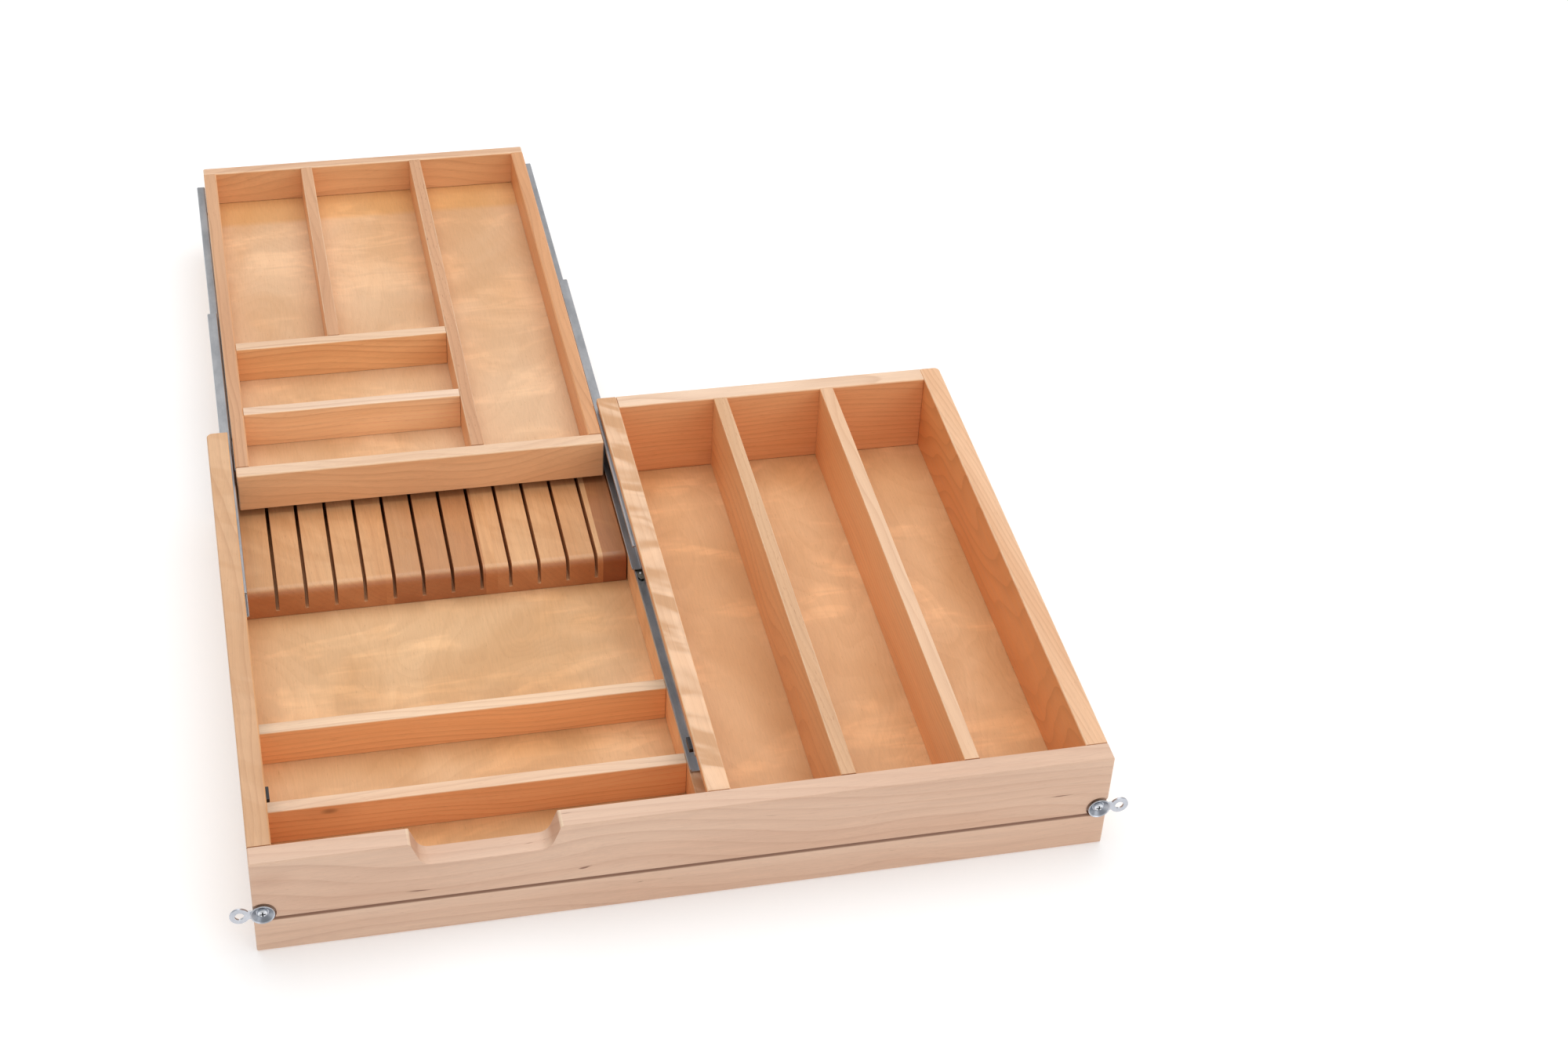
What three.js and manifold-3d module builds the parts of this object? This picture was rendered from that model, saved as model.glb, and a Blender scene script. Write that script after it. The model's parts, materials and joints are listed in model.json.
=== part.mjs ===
// Two-tier wooden drawer organizer insert with a sliding upper tray.
// Units are millimetres. +X is to the right, +Y is to the back, +Z is up.
// The origin is on the underside of the front, at the middle of its width and thickness.

import * as THREE from "three";
import { ConvexGeometry } from "three/addons/geometries/ConvexGeometry.js";
import { mergeVertices } from "three/addons/utils/BufferGeometryUtils.js";
import Module from "manifold-3d";

const wasm = await Module();
wasm.setup();

// Fits
const fit_gap = 0.3;
const running_gap = 2.0;

// Outer box
const box_width = 675.0;
const box_depth = 533.4;
const box_height = 94.0;
const side_thick = 18.3;
const front_thick = 19.0;
const back_thick = 17.0;
const front_joint_height = 34.0;
const front_joint_groove = 3.4;
const board_ease = 1.0;
const rear_corner_radius = 5.0;

// Plywood floor
const floor_thick = 9.0;
const floor_bottom = 8.2;
const floor_groove_depth = 6.0;

// Knife bay and right-hand bays
const knife_bay_width = 332.0;
const middle_thick = 18.3;
const long_divider_thick = 12.5;
const long_divider_count = 2;

// Low dividers in the knife bay
const low_divider_thick = 12.0;
const front_divider_distance = 95.2;
const rear_divider_distance = 184.6;

// Knife block
const block_drop = 5.0;
const block_depth = 151.3;
const block_round = 8.0;
const block_side_gap = 0.8;
const slot_count = 12;
const slot_edge_distance = 26.7;
const slot_width = 3.0;
const slot_floor_thick = 6.5;

// Finger pull
const pull_offset = -7.6;
const pull_top_width = 114.0;
const pull_bottom_width = 97.5;
const pull_depth = 22.5;
const pull_round = 8.0;
const pull_top_round = 2.2;

// Telescopic slides
const slide_thick = 12.7;
const slide_front_distance = 68.0;
const slide_rear_distance = 15.4;
const slide_sheet = 1.2;
const slide_groove_depth = 9.5;
const slide_groove_top = 6.5;
const slide_groove_height = 36.5;
const middle_member_short = 38.0;
const middle_member_forward = 39.5;
const left_member_lead = 9.0;
const bumper_distance = 9.5;
const bumper_length = 14.0;
const fixed_nose_length = 15.5;
const fixed_nose_drop = 5.0;
const fixed_lip = 2.2;
const middle_lip = 0.9;
const race_gap = 3.0;
const cage_sheet = 0.6;
const cage_end_distance = 10.0;
const outer_cage_lead = 11.0;
const cage_ball_distance = 8.0;
const ball_radius = 1.2;
const ball_count = 5;

// Upper tray
const tray_end_gap = 1.1;
const tray_top_drop = 2.5;
const tray_side_thick = 12.1;
const tray_front_thick = 13.6;
const tray_back_thick = 11.7;
const tray_divider_thick = 11.5;
const tray_floor_thick = 2.8;
const tray_rabbet = 6.0;
const tray_first_column = 84.8;
const tray_second_column = 98.5;
const tray_front_cell = 75.4;
const tray_middle_cell = 89.3;

// Front fixing clips
const clip_side_distance = 7.0;
const clip_height = 41.0;
const clip_recess_radius = 10.5;
const clip_recess_depth = 3.0;
const clip_cup_radius = 9.3;
const clip_ear_distance = 17.2;
const clip_ear_radius = 7.5;
const clip_ear_hole_radius = 3.5;
const clip_plate_thick = 1.6;
const clip_screw_head_radius = 4.1;

// Screws
const screw_shank_radius = 1.5;
const screw_head_radius = 3.2;
const screw_hole_gap = 0.35;
const screw_cover = 1.2;
const tray_screw_cover = 3.5;
const clip_screw_cover = 3.4;
const screw_tip_gap = 0.8;
const fixed_screw_front = 4.5;
const fixed_screw_rear = 16.0;
const tray_screw_inset = 36.0;

// Derived sizes of the box
const box_left = -box_width / 2;
const box_right = box_width / 2;
const front_face = -front_thick / 2;
const front_inside = front_face + front_thick;
const back_face = front_face + box_depth;
const back_inside = back_face - back_thick;
const bay_left = box_left + side_thick;
const bay_right = bay_left + knife_bay_width;
const right_bays_left = bay_right + middle_thick;
const right_bays_right = box_right - side_thick;
const right_bays_width = right_bays_right - right_bays_left;
const long_bay_width = (right_bays_width - long_divider_count * long_divider_thick)
  / (long_divider_count + 1);
const floor_top = floor_bottom + floor_thick;
const standing_height = floor_top + fit_gap;
const groove_bottom = box_height - slide_groove_top - slide_groove_height;
const low_divider_top = groove_bottom;
const block_top = low_divider_top - block_drop;

// Derived sizes of the slides
const slide_length = box_depth - slide_front_distance - slide_rear_distance;
const tray_travel = slide_length;
const middle_member_length = slide_length - middle_member_short;
const cage_length = slide_length - middle_member_forward - tray_travel / 2 - 2 * cage_end_distance;
const slide_top = box_height - slide_groove_top - fit_gap;
const slide_height = slide_groove_height - 2 * fit_gap;
const slide_centre_height = slide_top - slide_height / 2;
const slide_front = front_face + slide_front_distance;
const fixed_half = slide_height / 2;
const fixed_inside = fixed_half - slide_sheet;
const middle_half = fixed_inside - race_gap;
const middle_inside = middle_half - slide_sheet;
const inner_half = middle_inside - race_gap;
const inner_inside = inner_half - slide_sheet;
const fixed_reach = slide_groove_depth - fit_gap;
const middle_web_start = 2 * slide_sheet;
const middle_reach = slide_thick - slide_sheet + 0.1;
const inner_web_start = slide_thick - slide_sheet;
const inner_reach = middle_web_start + 2 * slide_sheet + 0.2;
const outer_race_centre = (fixed_inside + middle_half) / 2;
const inner_race_centre = (middle_inside + inner_half) / 2;

// Derived sizes of the tray
const tray_side_gap = slide_thick + 2 * fit_gap - slide_groove_depth;
const tray_left = bay_left + tray_side_gap;
const tray_right = bay_right - tray_side_gap;
const tray_length = box_depth - front_thick - 2 * tray_end_gap;
const tray_front = front_inside + tray_end_gap + tray_travel;
const tray_back = tray_front + tray_length;
const tray_bottom = low_divider_top + running_gap;
const tray_top = box_height - tray_top_drop;
const tray_floor_top = tray_bottom + tray_floor_thick;
const tray_standing = tray_floor_top + fit_gap;
const tray_inside_left = tray_left + tray_side_thick;
const tray_inside_right = tray_right - tray_side_thick;
const tray_inside_front = tray_front + tray_front_thick;
const tray_inside_back = tray_back - tray_back_thick;
const tray_divider_a = tray_inside_left + tray_first_column;
const tray_divider_b = tray_divider_a + tray_divider_thick + tray_second_column;
const tray_cross_g = tray_inside_front + tray_front_cell;
const tray_cross_f = tray_cross_g + tray_divider_thick + tray_middle_cell;

// Materials
const maple = new THREE.MeshStandardMaterial({ color: 0xdcb48c, roughness: 0.55, metalness: 0.0 });
const plywood = new THREE.MeshStandardMaterial({ color: 0xdeb27d, roughness: 0.6, metalness: 0.0 });
const cherry = new THREE.MeshStandardMaterial({ color: 0xb8784c, roughness: 0.55, metalness: 0.0 });
const zinc = new THREE.MeshStandardMaterial({ color: 0xa9adb2, roughness: 0.35, metalness: 0.9 });
const steel = new THREE.MeshStandardMaterial({ color: 0x8f959b, roughness: 0.3, metalness: 0.9 });
const black = new THREE.MeshStandardMaterial({ color: 0x1b1b1c, roughness: 0.5, metalness: 0.0 });

const organizer = new THREE.Group();
organizer.name = "drawer_organizer";

// Solid helpers

function solidFrom(geometry) {
  const bare = geometry.clone();
  bare.deleteAttribute("normal");
  bare.deleteAttribute("uv");
  const merged = mergeVertices(bare, 1e-4);
  const vertProperties = new Float32Array(merged.attributes.position.array);
  const triVerts = new Uint32Array(merged.index.array);
  return new wasm.Manifold(new wasm.Mesh({ numProp: 3, vertProperties, triVerts }));
}

function addPart(name, solid, material) {
  const mesh = solid.getMesh();
  const geometry = new THREE.BufferGeometry();
  geometry.setAttribute("position", new THREE.BufferAttribute(mesh.vertProperties, 3));
  geometry.setIndex(new THREE.BufferAttribute(mesh.triVerts, 1));
  geometry.computeVertexNormals();
  const part = new THREE.Mesh(geometry, material);
  part.name = name;
  organizer.add(part);
}

function cutter(x0, x1, y0, y1, z0, z1) {
  const geometry = new THREE.BoxGeometry(x1 - x0, y1 - y0, z1 - z0);
  geometry.translate((x0 + x1) / 2, (y0 + y1) / 2, (z0 + z1) / 2);
  return solidFrom(geometry);
}

// A board with every edge eased by a small flat.
function easedBoard(x0, x1, y0, y1, z0, z1, ease = board_ease) {
  const corners = [];
  for (const [x, sx] of [[x0, 1], [x1, -1]]) {
    for (const [y, sy] of [[y0, 1], [y1, -1]]) {
      for (const [z, sz] of [[z0, 1], [z1, -1]]) {
        corners.push(new THREE.Vector3(x, y + sy * ease, z + sz * ease));
        corners.push(new THREE.Vector3(x + sx * ease, y, z + sz * ease));
        corners.push(new THREE.Vector3(x + sx * ease, y + sy * ease, z));
      }
    }
  }
  return solidFrom(new ConvexGeometry(corners));
}

// A profile drawn in X and Z and drawn out along Y.
function alongY(shape, y0, y1, segments = 6) {
  const geometry = new THREE.ExtrudeGeometry(shape, {
    depth: y1 - y0,
    bevelEnabled: false,
    curveSegments: segments,
  });
  geometry.rotateX(Math.PI / 2);
  geometry.translate(0, y1, 0);
  return solidFrom(geometry);
}

function outline(points) {
  const shape = new THREE.Shape();
  shape.moveTo(points[0][0], points[0][1]);
  for (const [x, z] of points.slice(1)) {
    shape.lineTo(x, z);
  }
  return shape;
}

// A turned solid whose axis runs along Y. Each profile point is radius, then Y.
function turnedAlongY(profile, x, z, segments = 20) {
  const points = profile.map(([radius, y]) => new THREE.Vector2(radius, y));
  const geometry = new THREE.LatheGeometry(points, segments);
  geometry.translate(x, 0, z);
  return turnOutward(geometry);
}

// A turned solid whose axis runs along X. Each profile point is radius, then X.
function turnedAlongX(profile, y, z, segments = 14) {
  const points = profile.map(([radius, x]) => new THREE.Vector2(radius, -x));
  const geometry = new THREE.LatheGeometry(points, segments);
  geometry.rotateZ(Math.PI / 2);
  geometry.translate(0, y, z);
  return turnOutward(geometry);
}

// Reverses a closed mesh that came out facing inward.
function turnOutward(geometry) {
  const bare = geometry.clone();
  bare.deleteAttribute("normal");
  bare.deleteAttribute("uv");
  const merged = mergeVertices(bare, 1e-4);
  const index = merged.index.array;
  const position = merged.attributes.position;
  const a = new THREE.Vector3();
  const b = new THREE.Vector3();
  const c = new THREE.Vector3();
  const kept = [];
  let volume = 0;
  for (let i = 0; i < index.length; i += 3) {
    const corners = [index[i], index[i + 1], index[i + 2]];
    if (new Set(corners).size === 3) {
      a.fromBufferAttribute(position, corners[0]);
      b.fromBufferAttribute(position, corners[1]);
      c.fromBufferAttribute(position, corners[2]);
      volume += a.dot(b.cross(c));
      kept.push(corners);
    }
  }
  const ordered = kept.map((t) => (volume < 0 ? [t[0], t[2], t[1]] : t));
  merged.setIndex(ordered.flat());
  const vertProperties = new Float32Array(position.array);
  const triVerts = new Uint32Array(merged.index.array);
  return new wasm.Manifold(new wasm.Mesh({ numProp: 3, vertProperties, triVerts }));
}

// Box boards

function floorGroove(x0, x1, y0, y1) {
  return cutter(x0, x1, y0, y1, floor_bottom - fit_gap, floor_top + fit_gap);
}

function clipRecess(side) {
  const x = side * (box_width / 2 - clip_side_distance);
  const start = front_face - 5;
  const end = front_face + clip_recess_depth;
  return turnedAlongY([[0, start], [clip_recess_radius, start], [clip_recess_radius, end], [0, end]],
    x, clip_height, 28);
}

function clipScrewHole(side) {
  const x = side * (box_width / 2 - clip_side_distance);
  const radius = screw_shank_radius + screw_hole_gap;
  const start = front_face - 1;
  const end = front_inside - clip_screw_cover;
  return turnedAlongY([[0, start], [radius, start], [radius, end], [0, end]], x, clip_height, 14);
}

function fingerPull() {
  const centre = (bay_left + bay_right) / 2 + pull_offset;
  const half_top = pull_top_width / 2;
  const half_bottom = pull_bottom_width / 2;
  const top = box_height;
  const bottom = box_height - pull_depth;
  const lean = (half_top - half_bottom) / pull_depth;
  const r = pull_round;
  const s = pull_top_round;
  const shape = new THREE.Shape();
  shape.moveTo(centre - half_top - s, top + r);
  shape.lineTo(centre - half_top - s, top);
  shape.quadraticCurveTo(centre - half_top, top, centre - half_top + s * lean, top - s);
  shape.lineTo(centre - half_bottom - r * lean, bottom + r);
  shape.quadraticCurveTo(centre - half_bottom, bottom, centre - half_bottom + r, bottom);
  shape.lineTo(centre + half_bottom - r, bottom);
  shape.quadraticCurveTo(centre + half_bottom, bottom, centre + half_bottom + r * lean, bottom + r);
  shape.lineTo(centre + half_top - s * lean, top - s);
  shape.quadraticCurveTo(centre + half_top, top, centre + half_top + s, top);
  shape.lineTo(centre + half_top + s, top + r);
  return alongY(shape, front_face - 5, front_inside + 5, 6);
}

// The V-shaped shadow groove along the joint between the two front boards.
function jointGroove() {
  const half = front_joint_groove / 2;
  const out = 2;
  const points = [];
  for (const x of [box_left - 5, box_right + 5]) {
    points.push(new THREE.Vector3(x, front_face - out, front_joint_height - half - out));
    points.push(new THREE.Vector3(x, front_face - out, front_joint_height + half + out));
    points.push(new THREE.Vector3(x, front_face + half, front_joint_height));
  }
  return solidFrom(new ConvexGeometry(points));
}

function buildFrontPanel() {
  let board = easedBoard(box_left, box_right, front_face, front_inside,
    front_joint_height + fit_gap / 2, box_height);
  board = board.subtract(fingerPull());
  board = board.subtract(jointGroove());
  for (const side of [-1, 1]) {
    board = board.subtract(clipRecess(side));
    board = board.subtract(clipScrewHole(side));
  }
  addPart("front_panel", board, maple);
}

function buildFrontRail() {
  let board = easedBoard(box_left, box_right, front_face, front_inside,
    0, front_joint_height - fit_gap / 2);
  board = board.subtract(jointGroove());
  board = board.subtract(clipRecess(-1));
  board = board.subtract(clipRecess(1));
  board = board.subtract(floorGroove(box_left + side_thick - floor_groove_depth,
    box_right - side_thick + floor_groove_depth, front_inside - floor_groove_depth, front_inside + 5));
  addPart("front_rail", board, maple);
}

// A side board with its rear outer corner rounded in plan.
function sideBoard(side) {
  const outer = side * box_width / 2;
  const inner = outer - side * side_thick;
  const y0 = front_inside + fit_gap;
  const y1 = back_face;
  const r = rear_corner_radius;
  const e = board_ease;
  const points = [];
  for (const [z, inset] of [[0, e], [e, 0], [box_height - e, 0], [box_height, e]]) {
    points.push(new THREE.Vector3(outer - side * inset, y0 + inset, z));
    points.push(new THREE.Vector3(inner + side * inset, y0 + inset, z));
    points.push(new THREE.Vector3(inner + side * inset, y1 - inset, z));
    for (let step = 0; step <= 4; step += 1) {
      const turn = (step / 4) * Math.PI / 2;
      const x = outer - side * (r - (r - inset) * Math.sin(turn));
      const y = y1 - r + (r - inset) * Math.cos(turn);
      points.push(new THREE.Vector3(x, y, z));
    }
  }
  return solidFrom(new ConvexGeometry(points));
}

function slideScrewHole(wall, inward, thick, y) {
  const bottom = wall - inward * slide_groove_depth;
  const radius = screw_shank_radius + screw_hole_gap;
  const mouth = bottom + inward;
  const deep = bottom - inward * (thick - slide_groove_depth - screw_cover);
  return turnedAlongX([[0, mouth], [radius, mouth], [radius, deep], [0, deep]], y, slide_centre_height);
}

function slideGroove(wall, inward) {
  const bottom = wall - inward * slide_groove_depth;
  const mouth = wall + inward * 5;
  return cutter(Math.min(bottom, mouth), Math.max(bottom, mouth), front_inside - 5, back_face + 5,
    groove_bottom, groove_bottom + slide_groove_height);
}

function fixedScrewPlaces() {
  return [slide_front + fixed_screw_front, slide_front + slide_length - fixed_screw_rear];
}

function buildLeftSide() {
  let board = sideBoard(-1);
  board = board.subtract(floorGroove(bay_left - floor_groove_depth, bay_left + 5,
    front_inside - 5, back_face - back_thick + floor_groove_depth));
  board = board.subtract(slideGroove(bay_left, 1));
  for (const y of fixedScrewPlaces()) {
    board = board.subtract(slideScrewHole(bay_left, 1, side_thick, y));
  }
  addPart("left_side", board, maple);
}

function buildRightSide() {
  let board = sideBoard(1);
  board = board.subtract(floorGroove(right_bays_right - 5, right_bays_right + floor_groove_depth,
    front_inside - 5, back_face - back_thick + floor_groove_depth));
  addPart("right_side", board, maple);
}

function buildMiddleDivider() {
  let board = easedBoard(bay_right, right_bays_left, front_inside + fit_gap, back_face,
    standing_height, box_height);
  board = board.subtract(slideGroove(bay_right, -1));
  for (const y of fixedScrewPlaces()) {
    board = board.subtract(slideScrewHole(bay_right, -1, middle_thick, y));
  }
  addPart("middle_divider", board, maple);
}

function buildBackPanel() {
  let board = easedBoard(right_bays_left + fit_gap, right_bays_right - fit_gap, back_inside, back_face,
    0, box_height);
  board = board.subtract(floorGroove(right_bays_left - 5, right_bays_right + 5,
    back_inside - 5, back_inside + floor_groove_depth));
  addPart("back_panel", board, maple);
}

// The low rail under the tray. It runs on under the end of the middle divider.
function buildBackRail() {
  const right = right_bays_left - fit_gap;
  let board = easedBoard(bay_left + fit_gap, right, back_inside, back_face, 0, groove_bottom - fit_gap);
  board = board.subtract(floorGroove(bay_left - 5, right + 5,
    back_inside - 5, back_inside + floor_groove_depth));
  board = board.subtract(cutter(bay_right - fit_gap, right + 5, back_inside - 5, back_face + 5,
    standing_height - fit_gap, box_height));
  addPart("back_rail", board, maple);
}

function buildFloorPanel() {
  const reach = floor_groove_depth - fit_gap;
  const board = easedBoard(bay_left - reach, right_bays_right + reach, front_inside - reach,
    back_inside + reach, floor_bottom, floor_top, 0.3);
  addPart("floor_panel", board, plywood);
}

function buildLongDividers() {
  const y0 = front_inside + fit_gap;
  const y1 = back_inside - fit_gap;
  for (let i = 0; i < long_divider_count; i += 1) {
    const x = right_bays_left + long_bay_width + i * (long_divider_thick + long_bay_width);
    const board = easedBoard(x, x + long_divider_thick, y0, y1, standing_height, box_height);
    addPart(`long_divider_${i + 1}`, board, maple);
  }
}

function buildLowDivider(name, distance) {
  const y = front_face + distance;
  const board = easedBoard(bay_left + fit_gap, bay_right - fit_gap, y, y + low_divider_thick,
    standing_height, low_divider_top, 0.8);
  addPart(name, board, maple);
}

function buildKnifeBlock() {
  const y1 = back_inside - fit_gap;
  const y0 = y1 - block_depth;
  const z0 = standing_height;
  const z1 = block_top;
  const x0 = bay_left + fit_gap;
  const x1 = bay_right - fit_gap - block_side_gap;
  const shape = new THREE.Shape();
  shape.moveTo(y0, z0);
  shape.lineTo(y1, z0);
  shape.lineTo(y1, z1);
  shape.lineTo(y0 + block_round, z1);
  shape.absarc(y0 + block_round, z1 - block_round, block_round, Math.PI / 2, Math.PI, false);
  const geometry = new THREE.ExtrudeGeometry(shape, { depth: x1 - x0, bevelEnabled: false, curveSegments: 6 });
  geometry.rotateX(Math.PI / 2);
  geometry.rotateZ(Math.PI / 2);
  geometry.translate(x0, 0, 0);
  let block = solidFrom(geometry);
  const slot_pitch = (x1 - x0 - 2 * slot_edge_distance) / (slot_count - 1);
  for (let i = 0; i < slot_count; i += 1) {
    const x = x0 + slot_edge_distance + i * slot_pitch;
    block = block.subtract(cutter(x - slot_width / 2, x + slot_width / 2, y0 - 5, y1 + 5,
      z0 + slot_floor_thick, z1 + 5));
  }
  addPart("knife_block", block, cherry);
}

// Slides. Each member is drawn from the wall outward, then placed on one wall.
// "inward" is +1 on the left wall and -1 on the right wall.

function slideSection(points, wall, inward) {
  const start = wall - inward * (slide_groove_depth - fit_gap);
  const placed = points.map(([u, v]) => [start + inward * u, slide_centre_height + v]);
  return outline(inward > 0 ? placed : placed.reverse());
}

function channelPoints(web_start, reach, half, sheet, lip) {
  const inside = half - sheet;
  const web_end = web_start + sheet;
  const soft = sheet * 0.6;
  const points = [
    [web_start, -half + soft],
    [web_start + soft, -half],
    [reach - soft, -half],
    [reach, -half + soft],
    [reach, -inside + lip],
    [reach - sheet, -inside + lip],
    [reach - sheet, -inside],
    [web_end, -inside],
  ];
  const upper = points.map(([u, v]) => [u, -v]).reverse();
  return points.concat(upper);
}

function countersink(wall, inward, y, gap) {
  const start = wall - inward * (slide_groove_depth - fit_gap);
  const radius = screw_head_radius + gap;
  const narrow = screw_shank_radius + gap;
  const face = start + inward * (slide_sheet + 0.4);
  const flush = start + inward * slide_sheet;
  const back = start - inward * 0.2;
  return turnedAlongX([[0, face], [radius, face], [radius, flush], [narrow, start],
    [narrow, back], [0, back]], y, slide_centre_height);
}

function buildFixedMember(name, wall, inward) {
  const y0 = slide_front;
  const y1 = slide_front + slide_length;
  const section = slideSection(channelPoints(0, fixed_reach, fixed_half, slide_sheet, fixed_lip), wall, inward);
  let member = alongY(section, y0, y1);
  // The front end is narrower: its lower edge is cut away.
  const hidden = wall - inward * (slide_groove_depth + 1);
  const proud = wall + inward;
  member = member.subtract(cutter(Math.min(hidden, proud), Math.max(hidden, proud), y0 - 1,
    y0 + fixed_nose_length, slide_centre_height - fixed_half - 1, slide_centre_height - fixed_nose_drop));
  for (const y of fixedScrewPlaces()) {
    member = member.subtract(countersink(wall, inward, y, screw_hole_gap));
  }
  addPart(name, member, zinc);
}

function buildFixedScrews(side_name, wall, inward, thick) {
  const start = wall - inward * (slide_groove_depth - fit_gap);
  const face = start + inward * (slide_sheet - 0.05);
  const tip = start - inward * (thick - slide_groove_depth - screw_cover - screw_tip_gap);
  const point = tip + inward * 1.8;
  fixedScrewPlaces().forEach((y, i) => {
    const screw = turnedAlongX([[0, face], [screw_head_radius, face], [screw_shank_radius, start],
      [screw_shank_radius, point], [0, tip]], y, slide_centre_height);
    addPart(`fixed_screw_${side_name}_${i + 1}`, screw, steel);
  });
}

function middleMemberFront(inward) {
  const lead = inward > 0 ? left_member_lead : 0;
  return slide_front + middle_member_forward - lead + tray_travel / 2;
}

function buildMiddleMember(name, wall, inward) {
  const rest = middleMemberFront(inward);
  const section = slideSection(
    channelPoints(middle_web_start, middle_reach, middle_half, slide_sheet, middle_lip), wall, inward);
  let member = alongY(section, rest, rest + middle_member_length);
  const start = wall - inward * (slide_groove_depth - fit_gap);
  const near = start + inward * 1;
  const far = start + inward * 4.2;
  const z = slide_centre_height;
  for (const share of [0.16, 0.5, 0.84]) {
    const y = rest + middle_member_length * share;
    member = member.subtract(cutter(Math.min(near, far), Math.max(near, far), y - 14, y + 14, z - 5, z + 5));
  }
  addPart(name, member, zinc);
}

function buildInnerMember(name, wall, inward) {
  const rest = slide_front + tray_travel;
  const section = channelPoints(0, slide_thick - inner_reach, inner_half, slide_sheet, 0);
  const turned = section.map(([u, v]) => [slide_thick - u, v]).reverse();
  let member = alongY(slideSection(turned, wall, inward), rest, rest + slide_length);
  const start = wall - inward * (slide_groove_depth - fit_gap);
  const radius = screw_shank_radius + screw_hole_gap;
  const near = start + inward * (inner_web_start - 1);
  const far = start + inward * (slide_thick + 1);
  for (const y of innerScrewPlaces()) {
    member = member.subtract(turnedAlongX([[0, near], [radius, near], [radius, far], [0, far]],
      y, slide_centre_height));
  }
  addPart(name, member, zinc);
}

function innerScrewPlaces() {
  const rest = slide_front + tray_travel;
  return [rest + tray_screw_inset, rest + slide_length - tray_screw_inset];
}

function buildInnerScrews(side_name, wall, inward) {
  const start = wall - inward * (slide_groove_depth - fit_gap);
  const seat = start + inward * (inner_web_start - fit_gap);
  const head = seat - inward * 1.7;
  const crown = seat - inward * 1.1;
  const tip = start + inward * (slide_thick + fit_gap + tray_side_thick - tray_screw_cover - screw_tip_gap);
  const point = tip - inward * 2;
  innerScrewPlaces().forEach((y, i) => {
    const screw = turnedAlongX([[0, head], [screw_head_radius * 0.75, head], [screw_head_radius, crown],
      [screw_head_radius, seat], [screw_shank_radius, seat], [screw_shank_radius, point], [0, tip]],
      y, slide_centre_height);
    addPart(`tray_screw_${side_name}_${i + 1}`, screw, steel);
  });
}

// A ball cage: a thin channel that carries two rows of balls.
function buildCage(name, wall, inward, y0, web_start, reach, race_centre) {
  const half = race_centre + cage_sheet / 2;
  const section = slideSection(channelPoints(web_start, reach, half, cage_sheet, 0), wall, inward);
  let cage = alongY(section, y0, y0 + cage_length);
  const start = wall - inward * (slide_groove_depth - fit_gap);
  const x = start + inward * (web_start + reach + slide_sheet) / 2;
  const pitch = (cage_length - 2 * cage_ball_distance) / (ball_count - 1);
  for (let i = 0; i < ball_count; i += 1) {
    for (const row of [-1, 1]) {
      const ball = new THREE.IcosahedronGeometry(ball_radius, 1);
      ball.translate(x, y0 + cage_ball_distance + i * pitch, slide_centre_height + row * race_centre);
      cage = cage.add(solidFrom(ball));
    }
  }
  addPart(name, cage, zinc);
}

// The stop at the front of the fixed member. It hooks over the race from above,
// and leaves the middle open because the inner member passes through it.
function buildBumper(name, wall, inward) {
  const start = wall - inward * (slide_groove_depth - fit_gap);
  const y0 = slide_front + bumper_distance;
  const y1 = y0 + bumper_length;
  const z = slide_centre_height;
  const skin = slide_sheet + fit_gap;
  const web_end = inner_reach - 4 * fit_gap;
  const race_end = fixed_reach - slide_sheet - fit_gap;
  const proud_end = middle_reach + 0.2;
  const low = inner_half + 2 * fit_gap;
  const proud = fixed_inside - fixed_lip - fit_gap;
  const high = fixed_inside - fit_gap;
  const block = (reach, v0, v1) => {
    const a = start + inward * skin;
    const b = start + inward * reach;
    return cutter(Math.min(a, b), Math.max(a, b), y0, y1, z + v0, z + v1);
  };
  let stop = block(web_end, 0, high);
  stop = stop.add(block(race_end, low, high));
  stop = stop.add(block(proud_end, low, proud));
  addPart(name, stop, black);
}

function buildSlide(side_name, wall, inward, thick) {
  buildFixedMember(`slide_fixed_${side_name}`, wall, inward);
  buildFixedScrews(side_name, wall, inward, thick);
  buildBumper(`slide_bumper_${side_name}`, wall, inward);
  buildMiddleMember(`slide_middle_${side_name}`, wall, inward);
  buildInnerMember(`slide_inner_${side_name}`, wall, inward);
  buildInnerScrews(side_name, wall, inward);
  const outer_start = middleMemberFront(inward) - outer_cage_lead;
  const inner_start = slide_front + tray_travel + 2 * cage_end_distance;
  const outer_web = slide_sheet + 0.3;
  const inner_web = middle_web_start + slide_sheet + 0.3;
  buildCage(`outer_cage_${side_name}`, wall, inward, outer_start, outer_web,
    fixed_reach - slide_sheet - 0.4, outer_race_centre);
  buildCage(`inner_cage_${side_name}`, wall, inward, inner_start, inner_web,
    middle_reach - slide_sheet - 0.4, inner_race_centre);
}

// Tray boards

function trayRabbet() {
  const reach = tray_rabbet;
  return cutter(tray_inside_left - reach, tray_inside_right + reach, tray_inside_front - reach,
    tray_inside_back + reach, tray_bottom - 5, tray_floor_top + fit_gap);
}

function buildTrayFront() {
  const board = easedBoard(tray_left, tray_right, tray_front, tray_inside_front, tray_bottom, tray_top);
  addPart("tray_front", board.subtract(trayRabbet()), maple);
}

function buildTrayBack() {
  const board = easedBoard(tray_left, tray_right, tray_inside_back, tray_back, tray_bottom, tray_top);
  addPart("tray_back", board.subtract(trayRabbet()), maple);
}

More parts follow.
